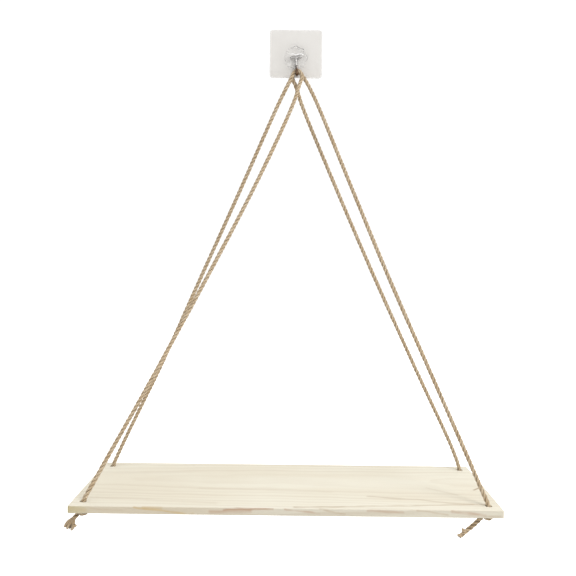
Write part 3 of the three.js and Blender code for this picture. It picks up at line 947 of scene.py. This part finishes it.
def jute_piece(name, points, faces, jute, lay, outward):
    """A jute mesh. Its material reads each point's fibre coordinates, and how far the point faces out, which
    sets its painted shade.
    """
    piece = mesh_piece(name, points, faces, jute)
    for field, kind, slot, values in (
        ("lay", "FLOAT_VECTOR", "vector", lay),
        ("outward", "FLOAT", "value", outward),
    ):
        kept = piece.data.attributes.new(field, kind, "POINT")
        kept.data.foreach_set(slot, np.asarray(values, np.float32).ravel())
    return piece


def make_rope(name, back_name, front_name, hang, jute, seed):
    """A laid rope, on its whole route, as one mesh of three strands."""
    route, knots = rope_route(back_name, front_name, hang)
    fine = smooth_line(route)
    reached = lengths_along(fine)
    drawn_in = [(reached[first * LINE_BETWEEN], reached[last * LINE_BETWEEN]) for first, last in knots]
    line, along = evenly(fine, STRAND_STEP)
    from_end = np.minimum(along, along[-1] - along)
    thin = squeeze_at(along, drawn_in) * (END_THIN + (1 - END_THIN) * np.clip(from_end / END_TAPER, 0, 1))
    # Painted shade at the cut ends, and along the tails, which hang under the board.
    shaded_end = CUT_SHADE * np.clip(1 - from_end / CUT_LENGTH, 0, 1)
    shaded_end += TAIL_SHADE * np.clip((TAIL_LENGTH - from_end) / TAIL_FADE, 0, 1)
    parts = []
    lays = []
    outs = []
    for number in range(ROPE_STRANDS):
        rings, lay, outward = laid_strand(line, along, thin, number, seed + 10 * number)
        parts.append((rings, skin(rings)))
        lays.append(lay.reshape(-1, 3))
        outs.append((outward - shaded_end[:, None]).ravel())
    points, faces = gathered(parts)
    rope = jute_piece(name, points, faces, jute, np.concatenate(lays), np.concatenate(outs))
    return rope, line, along


def fibre_tube(points, radius, sides=3):
    """A thin fibre that tapers to its end."""
    rings = tube(np.asarray(points), radius * np.linspace(1, FIBRE_TIP, len(points)), sides)
    return rings, skin(rings)


def make_fuzz(name, line, along, jute, seed):
    """Fine fibres that stand off a rope all along it."""
    draws = random.Random(seed)
    normals, across, ahead = frames_along(line)
    steps = np.linspace(0, 1, 5)[:, None]
    parts = []
    for _ in range(int(along[-1] / FUZZ_SPACING)):
        place = draws.randrange(len(line))
        angle = draws.uniform(0, FULL_TURN)
        out = normals[place] * math.cos(angle) + across[place] * math.sin(angle)
        side = np.cross(ahead[place], out)
        length = draws.uniform(*FUZZ_LENGTH)
        forward = draws.choice((-1, 1)) * draws.uniform(*FUZZ_FORWARD)
        lift = draws.uniform(*FUZZ_LIFT)
        swing = draws.uniform(-FUZZ_SWING, FUZZ_SWING)
        bend = ahead[place] * forward * steps + out * lift * steps**1.4 + side * swing * steps**2
        root = line[place] + out * (ROPE_RADIUS * FUZZ_ROOT)
        parts.append(fibre_tube(root + length * bend, draws.uniform(*FUZZ_RADIUS)))
    points, faces = gathered(parts)
    return jute_piece(name, points, faces, jute, points * FUZZ_FIBRE_SCALE, np.ones(len(points)))


def loose_strand(points, thickness, draws):
    """One strand that has come out of the lay: a soft core and the fibres round it, which part at the tip."""
    line, along = evenly(smooth_line(points), LOOSE_STEP)
    normals, across, _ = frames_along(line)
    share = along / along[-1]
    core = thickness * (1 + LOOSE_BELLY * np.sin(share * math.pi)) * (1 - LOOSE_TAPER * share**3)
    core_rings = tube(line, core, LOOSE_CORE_SIDES)
    parts = [(core_rings, skin(core_rings))]
    for _ in range(LOOSE_FIBRES):
        angle = draws.uniform(0, FULL_TURN)
        rank = thickness * draws.uniform(0.8, 1.2)
        last = max(int(len(line) * draws.uniform(0.82, 1.0)), 6)
        flare = 1 - 0.2 * share + draws.uniform(0.0, 0.5) * share**3
        turn = angle - along / LOOSE_TWIST * FULL_TURN + draws.uniform(-0.5, 0.5) * share
        fibre = line + (rank * flare)[:, None] * turned_out(normals, across, turn)
        parts.append(fibre_tube(fibre[:last], draws.uniform(*LOOSE_FIBRE_RADIUS), 4))
    return parts


def locks_between(strands):
    """Thinner locks that fill the gaps between neighbouring strands, and end a little short of them."""
    locks = []
    for first, second in zip(strands, strands[1:]):
        lock = (np.array(first) + np.array(second)) / 2
        lock[-1] = LOCK_REACH * lock[-1] + (1 - LOCK_REACH) * lock[-2]
        locks.append(lock)
    return locks


def make_loose_strands(tail_name, jute, seed):
    """The strands that come apart at the end of one tail, with painted shade on their cut tips and the locks
    between them.
    """
    draws = random.Random(seed)
    hole = hole_centres()[tail_name]
    tail = TAILS[tail_name]
    strand_shades = [CORE_SHADE] + [1] * LOOSE_FIBRES
    locks = [(strand, LOOSE_STRAND, strand_shades) for strand in tail["strands"]]
    if tail["full"]:
        lock_shades = [LOCK_SHADE] * (1 + LOOSE_FIBRES)
        locks.extend((lock, LOOSE_LOCK, lock_shades) for lock in locks_between(tail["strands"]))
    parts = []
    facing = []
    for lock, thickness, shades in locks:
        route = from_hole(hole, lock)
        made = loose_strand(route, thickness, draws)
        parts.extend(made)
        for (rings, _), shade in zip(made, shades):
            from_tip = np.linalg.norm(rings.reshape(-1, 3) - route[-1], axis=1)
            facing.append(np.minimum(from_tip / TIP_LENGTH, shade))
    points, faces = gathered(parts)
    name = tail_name + "_loose_strands"
    return jute_piece(name, points, faces, jute, points * LOOSE_FIBRE_SCALE, np.concatenate(facing))


# Eased plates: the board and the pad

def round_rectangle(width, height, corner, spacing, corner_points=8):
    """Points round a rectangle with round corners, about the origin, and the outward direction at each."""
    points = []
    outs = []
    for index, (sign_x, sign_y) in enumerate(((1, -1), (1, 1), (-1, 1), (-1, -1))):
        middle = np.array([sign_x * (width / 2 - corner), sign_y * (height / 2 - corner)])
        for step in range(corner_points + 1):
            angle = (index - 1 + step / corner_points) * math.pi / 2
            out = np.array([math.cos(angle), math.sin(angle)])
            points.append(middle + corner * out)
            outs.append(out)
        length = (height if index % 2 == 0 else width) - 2 * corner
        out = np.array([math.cos(index * math.pi / 2), math.sin(index * math.pi / 2)])
        ahead = np.array([-out[1], out[0]])
        count = max(int(length / spacing), 1)
        first = points[-1]
        for step in range(1, count):
            points.append(first + ahead * length * step / count)
            outs.append(out)
    return np.array(points), np.array(outs)


def circle(centre, radius, count):
    """Points round a hole, and the direction out of the material at each, which is to the hole's middle."""
    angles = -np.arange(count) / count * FULL_TURN
    out = np.stack([np.cos(angles), np.sin(angles)], axis=1)
    return np.asarray(centre) + radius * out, -out


def wall_rings(outline, outs, thickness, ease, arc=4):
    """The rings of a plate's wall from its upper face down, with both edges rounded by the ease."""
    rings = []
    for low in (0, 1):
        steps = range(arc + 1)
        for step in steps if low == 0 else reversed(steps):
            angle = step / arc * math.pi / 2
            inset = ease * (1 - math.sin(angle))
            drop = ease * (1 - math.cos(angle))
            level = thickness - drop if low == 0 else drop
            flat = outline - outs * inset[:, None]
            rings.append(np.column_stack([flat, level]))
    return np.array(rings)


def plate_mesh(loops, thickness):
    """A plate's points and faces. Each loop has its points, and the outward direction and the ease at each.

    The first loop is the outline, and the ones after it are holes. It also says of each face whether it is
    smooth, and only the walls are.
    """
    points = []
    faces = []
    start = 0
    caps = []
    for outline, outs, ease in loops:
        rings = wall_rings(outline, outs, thickness, ease)
        count, sides = rings.shape[:2]
        faces.extend((start + wall(rings)[:, [1, 0, 3, 2]]).tolist())
        caps.append((start, start + (count - 1) * sides, sides))
        points.append(rings.reshape(-1, 3))
        start += count * sides
    points = np.concatenate(points)
    walls = len(faces)
    for level in (0, 1):
        flat = []
        edges = []
        numbers = []
        for cap in caps:
            first = len(flat)
            sides = cap[2]
            numbers.extend(range(cap[level], cap[level] + sides))
            flat.extend(Vector(points[cap[level] + side][:2]) for side in range(sides))
            edges.extend((first + side, first + (side + 1) % sides) for side in range(sides))
        _, _, triangles, came_from, _, _ = delaunay_2d_cdt(flat, edges, [], 0, MERGE_DISTANCE)
        for triangle in triangles:
            corners = [numbers[came_from[index][0]] for index in triangle]
            middle = points[corners, :2].mean(axis=0)
            if any(inside(middle, loop[0]) for loop in loops[1:]):
                continue
            a, b, c = points[corners]
            turned = np.cross(b - a, c - a)[2]
            faces.append(corners if (turned > 0) == (level == 0) else corners[::-1])
    return points, faces, [number < walls for number in range(len(faces))]


def inside(place, loop):
    """Whether a place is within a round hole's outline."""
    middle = loop.mean(axis=0)
    return np.linalg.norm(place - middle) < np.linalg.norm(loop[0] - middle)


BOARD_EDGE_STEP = 2.5
PAD_EDGE_STEP = 2.0
PAD_CORNER_POINTS = 12
EASE_DRIFTS = ((0.3, 90, 5), (0.15, 21, 6))
EASE_LIMITS = (0.3, 1.1)


def make_board(wood):
    """The plank: eased edges that are a little uneven, and four holes with softened rims."""
    outline, outs = round_rectangle(BOARD_WIDTH, BOARD_DEPTH, BOARD_CORNER, BOARD_EDGE_STEP)
    round_about = np.cumsum(np.linalg.norm(np.roll(outline, -1, axis=0) - outline, axis=1))
    drift = sum(share * wander(round_about, length, seed) for share, length, seed in EASE_DRIFTS)
    loops = [(outline, outs, np.clip(BOARD_EASE * (1 + drift), *EASE_LIMITS))]
    for x, y in hole_centres().values():
        centre = (x - BOARD_CENTRE_X, y + BOARD_DEPTH / 2)
        rim, inward = circle(centre, HOLE_RADIUS, HOLE_POINTS)
        loops.append((rim, inward, np.full(HOLE_POINTS, BOARD_EASE)))
    points, faces, smooth = plate_mesh(loops, BOARD_THICKNESS)
    points += np.array([BOARD_CENTRE_X, -BOARD_DEPTH / 2, BOARD_UNDERSIDE_Z])
    return mesh_piece("board_plank", points, faces, wood, smooth)


def turned_to_room(points, back_y, centre_z):
    """A plate that was drawn flat, stood on the wall with its upper face to the room."""
    points = np.asarray(points)
    return np.stack([points[:, 0], back_y - points[:, 2], points[:, 1] + centre_z], axis=1)


def make_pad(plastic):
    """The adhesive pad: a thin sheet with round corners and a soft edge."""
    outline, outs = round_rectangle(PAD_WIDTH, PAD_HEIGHT, PAD_CORNER, PAD_EDGE_STEP, PAD_CORNER_POINTS)
    loops = [(outline, outs, np.full(len(outline), PAD_EASE))]
    points, faces, smooth = plate_mesh(loops, PAD_THICKNESS)
    return mesh_piece("hook_pad_sheet", turned_to_room(points, 0, 0), faces, plastic, smooth)


# The hook

STEM_POINTS = 8
BEND_STEPS = 12
BALL_STEPS = 6
WIRE_SIDES = 20
WIRE_BOW = ((-1, -0.5), (-0.55, 0.35), (0, -0.35), (0.55, 0.35), (1, -0.3))
BOSS_POINTS = 144
BOSS_DOME = (0.8, 0.7, 0.55, 0.38, 0.2)
BOSS_DOME_RISE = 0.25
LOBES_FROM = 0.45
LOBES_FADE = 0.5
LIP_LINE = [(-7.6, -2.3), (-5.4, -1.6), (-2.8, -1.7), (0.3, -2.3), (3.4, -1.5), (6.2, -1.6), (8.2, -3.2)]
LIP_RADIUS = 0.6
LIP_SINK = 0.3
LIP_STEP = 0.4
LIP_TAPER = 3
LIP_THIN = 0.3
LIP_SIDES = 12


def wire_line():
    """The middle line of the stem and the J, in the plane x = 0."""
    back_bend = WIRE_STEM_Y - HOOK_BEND_RADIUS
    front_bend = back_bend - HOOK_FLAT
    bend_z = HOOK_LOW_Z + HOOK_BEND_RADIUS
    points = [(0, WIRE_STEM_Y, z) for z in np.linspace(WIRE_BAR_Z, bend_z, STEM_POINTS)]
    for bend_y, start in ((back_bend, 0), (front_bend, -math.pi / 2)):
        for step in range(1, BEND_STEPS + 1):
            angle = start - step / BEND_STEPS * math.pi / 2
            y = bend_y + HOOK_BEND_RADIUS * math.cos(angle)
            z = bend_z + HOOK_BEND_RADIUS * math.sin(angle)
            points.append((0, y, z))
        if start == 0:
            points.append((0, (back_bend + front_bend) / 2, HOOK_LOW_Z))
            points.append((0, front_bend, HOOK_LOW_Z))
    points.append((0, front_bend - HOOK_BEND_RADIUS, HOOK_TIP_Z))
    return np.array(points, float)


def round_ended(line, radius, sides, both):
    """A tube whose last end, or both ends, are half balls."""
    ahead = directions(line)
    points = list(line)
    radii = [radius] * len(line)
    for angle in np.arange(1, BALL_STEPS) / BALL_STEPS * math.pi / 2:
        points.append(line[-1] + ahead[-1] * radius * math.sin(angle))
        radii.append(radius * math.cos(angle))
        if both:
            points.insert(0, line[0] - ahead[0] * radius * math.sin(angle))
            radii.insert(0, radius * math.cos(angle))
    rings = tube(np.array(points), radii, sides)
    return rings.reshape(-1, 3), skin(rings)


def leaned(points):
    """The wire leans a little to the side, about its bar."""
    points = np.asarray(points, float) - np.array([0, 0, WIRE_BAR_Z])
    cos, sin = math.cos(-WIRE_LEAN), math.sin(-WIRE_LEAN)
    x = points[:, 0] * cos + points[:, 2] * sin
    z = points[:, 2] * cos - points[:, 0] * sin
    return np.stack([x, points[:, 1], z + WIRE_BAR_Z], axis=1)


def wire_piece(name, radius, bar_length, material):
    """The wire as one closed mesh: the stem and J joined to the cross bar, whose arms bow a little."""
    stem = round_ended(wire_line(), radius, WIRE_SIDES, False)
    reach = bar_length / 2 - radius
    bar_line = smooth_line([(reach * x, WIRE_STEM_Y, WIRE_BAR_Z + z) for x, z in WIRE_BOW], 5)
    bar = round_ended(bar_line, radius, WIRE_SIDES, True)
    wire = mesh_piece(name, leaned(stem[0]), stem[1], material)
    cross = mesh_piece(name + "_bar", leaned(bar[0]), bar[1], material)
    boolean(wire, cross, "UNION")
    return wire


def boolean(piece, tool, operation):
    """Joins the tool to the piece or cuts it from it, for good, and removes the tool."""
    step = piece.modifiers.new(operation.lower(), "BOOLEAN")
    step.object = tool
    step.operation = operation
    step.solver = "EXACT"
    graph = bpy.context.evaluated_depsgraph_get()
    made = bpy.data.meshes.new_from_object(piece.evaluated_get(graph), depsgraph=graph)
    piece.modifiers.clear()
    old = piece.data
    piece.data = made
    made.name = old.name
    bpy.data.meshes.remove(old)
    bpy.data.objects.remove(tool)


def make_boss(plastic):
    """The scalloped boss: rounded lobes that fade into a low dome, with a channel that holds the wire."""
    angles = np.arange(BOSS_POINTS) / BOSS_POINTS * FULL_TURN
    profile = [(1.0, 0.0), (1.0, BOSS_THICKNESS - BOSS_EASE)]
    for turn in np.arange(1, BALL_STEPS + 1) / BALL_STEPS * math.pi / 2:
        inset = BOSS_EASE * (1 - math.cos(turn))
        profile.append((1 - inset / BOSS_RADIUS, BOSS_THICKNESS - BOSS_EASE * (1 - math.sin(turn))))
    flat_from = profile[-1][0]
    for share in BOSS_DOME:
        profile.append((flat_from * share, BOSS_THICKNESS + BOSS_DOME_RISE * (1 - share)))
    rings = []
    for share, level in profile:
        lobe = BOSS_LOBE_RISE * np.cos(BOSS_LOBES * angles) * np.clip((share - LOBES_FROM) / LOBES_FADE, 0, 1)
        radius = BOSS_RADIUS * share + lobe
        flat = [radius * np.cos(angles), radius * np.sin(angles)]
        rings.append(np.stack([*flat, np.full(BOSS_POINTS, level)], axis=1))
    rings = np.array(rings)
    points = turned_to_room(rings.reshape(-1, 3), -PAD_THICKNESS - SEAT_GAP, BOSS_CENTRE_Z)
    boss = mesh_piece("hook_boss_moulding", points, skin(rings), plastic)
    channel = wire_piece("channel", WIRE_RADIUS + SEAT_GAP, WIRE_BAR_LENGTH + 2 * SEAT_GAP, plastic)
    boolean(boss, channel, "DIFFERENCE")
    return boss


def make_lip(plastic):
    """The moulded lip across the boss, over the wire's cross bar. It thins out at both ends."""
    front = -PAD_THICKNESS - SEAT_GAP - BOSS_THICKNESS
    line, along = evenly(smooth_line([(x, front + LIP_SINK, z) for x, z in LIP_LINE]), LIP_STEP)
    from_end = np.minimum(along, along[-1] - along)
    full = np.sin(np.clip(from_end / LIP_TAPER, 0, 1) * math.pi / 2)
    radii = LIP_RADIUS * (LIP_THIN + (1 - LIP_THIN) * full)
    rings = tube(line, radii, LIP_SIDES)
    return mesh_piece("hook_boss_lip", rings.reshape(-1, 3), skin(rings), plastic)


# Floor and light

FLOOR_Z = -0.78
FLOOR_REACH = 6.0
FLOOR_TONES = ((0.93, 0.93, 0.93), (0.95, 0.95, 0.95))
FLOOR_GLOW = 0.7
SKY_SEEN = 1.1
SKY_LIGHT = (0.45, 1.1)

# Each lamp: where it is and where it points, in metres, its side and its power in watts.
LAMPS = {
    "key": ((0.9, -1.1, 0.75), (0, -0.07, -0.3), 0.7, 13),
    "side": ((1.7, -0.5, -0.2), (0, -0.07, -0.25), 0.7, 4),
    "fill": ((-1.2, -1.0, 0.1), (0, -0.07, -0.3), 1.2, 1.5),
}


def make_floor():
    """A plain pale floor, well below the shelf."""
    material, wiring, shader = new_material(
        "pale_floor", Roughness=0.9, Specular_IOR_Level=0.1, Emission_Color=(1, 1, 1, 1),
    )
    uneven = wiring.noise(wiring.add("ShaderNodeTexCoord").outputs["Object"], 3.0)
    seen = wiring.add("ShaderNodeLightPath").outputs["Is Camera Ray"]
    colour = wiring.blend(uneven, *FLOOR_TONES)
    finish(wiring, shader, Base_Color=colour, Emission_Strength=wiring.times(seen, FLOOR_GLOW))
    corners = [(-1, -1), (1, -1), (1, 1), (-1, 1)]
    points = [(x * FLOOR_REACH / MM, y * FLOOR_REACH / MM, FLOOR_Z / MM) for x, y in corners]
    floor = mesh_piece("floor", points, [[0, 1, 2, 3]], material, [False])


def make_surroundings():
    """White surroundings that light the shelf mostly from above, so that upright faces are a shade darker."""
    world = bpy.data.worlds.new("white_surroundings")
    bpy.context.scene.world = world
    world.use_nodes = True
    wiring = Wiring(world.node_tree)
    height = wiring.parts(wiring.add("ShaderNodeTexCoord").outputs["Generated"])["Z"]
    lit = wiring.spread(height, -0.1, 0.9, *SKY_LIGHT)
    seen = wiring.add("ShaderNodeLightPath").outputs["Is Camera Ray"]
    background = world.node_tree.nodes["Background"].inputs
    finish(
        wiring, background,
        Color=(1, 1, 1, 1),
        Strength=wiring.math("MAXIMUM", lit, wiring.times(seen, SKY_SEEN)),
    )


def make_lamp(name, place, aim, side, power):
    """A square soft box that points at a place."""
    lamp = bpy.data.objects.new(name, bpy.data.lights.new(name, "AREA"))
    bpy.context.scene.collection.objects.link(lamp)
    lamp.data.size = side
    lamp.data.energy = power
    lamp.location = place
    lamp.rotation_euler = (Vector(aim) - Vector(place)).to_track_quat("-Z", "Y").to_euler()


def main():
    """Builds the shelf and its hook, and the place that they are shown in."""
    scene = bpy.context.scene
    scene.view_settings.view_transform = "Standard"
    make_camera()

    patches = make_patches_group()
    streaks = make_streaks_group()
    mark = make_mark_group()
    rings = make_rings_group()
    jute = make_jute(patches, streaks)

    ropes = (
        ("left_rope", "back_left", "front_left", LEFT_ROPE_HANG, 11),
        ("right_rope", "back_right", "front_right", RIGHT_ROPE_HANG, 61),
    )
    for node, back_name, front_name, hang, seed in ropes:
        rope, line, along = make_rope(node + "_lay", back_name, front_name, hang, jute, seed)
        fuzz = make_fuzz(node + "_fuzz", line, along, jute, seed + 1)
        loose = [
            make_loose_strands(tail, jute, seed + 2 + number)
            for number, tail in enumerate((back_name, front_name))
        ]
        for piece in (rope, fuzz, *loose):
            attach(piece, "root")
        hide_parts(node)

    wood = make_wood(patches, streaks, mark, rings)
    steel = make_steel(patches, streaks)
    wire = wire_piece("hook_wire_steel", WIRE_RADIUS, WIRE_BAR_LENGTH, steel)
    dressed = (
        (make_board(wood), "board", "wood"),
        (make_pad(make_pad_plastic(patches)), "hook_pad", "pad_plastic"),
        (make_boss(make_boss_plastic(patches)), "hook_boss", "boss_plastic"),
        (make_lip(make_lip_plastic(patches)), "hook_boss", "boss_plastic"),
        (wire, "hook_wire", "steel"),
    )
    for piece, node, slot in dressed:
        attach(piece, "root")
        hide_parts(node)

    make_floor()
    make_surroundings()
    for name, settings in LAMPS.items():
        make_lamp(name, *settings)


main()
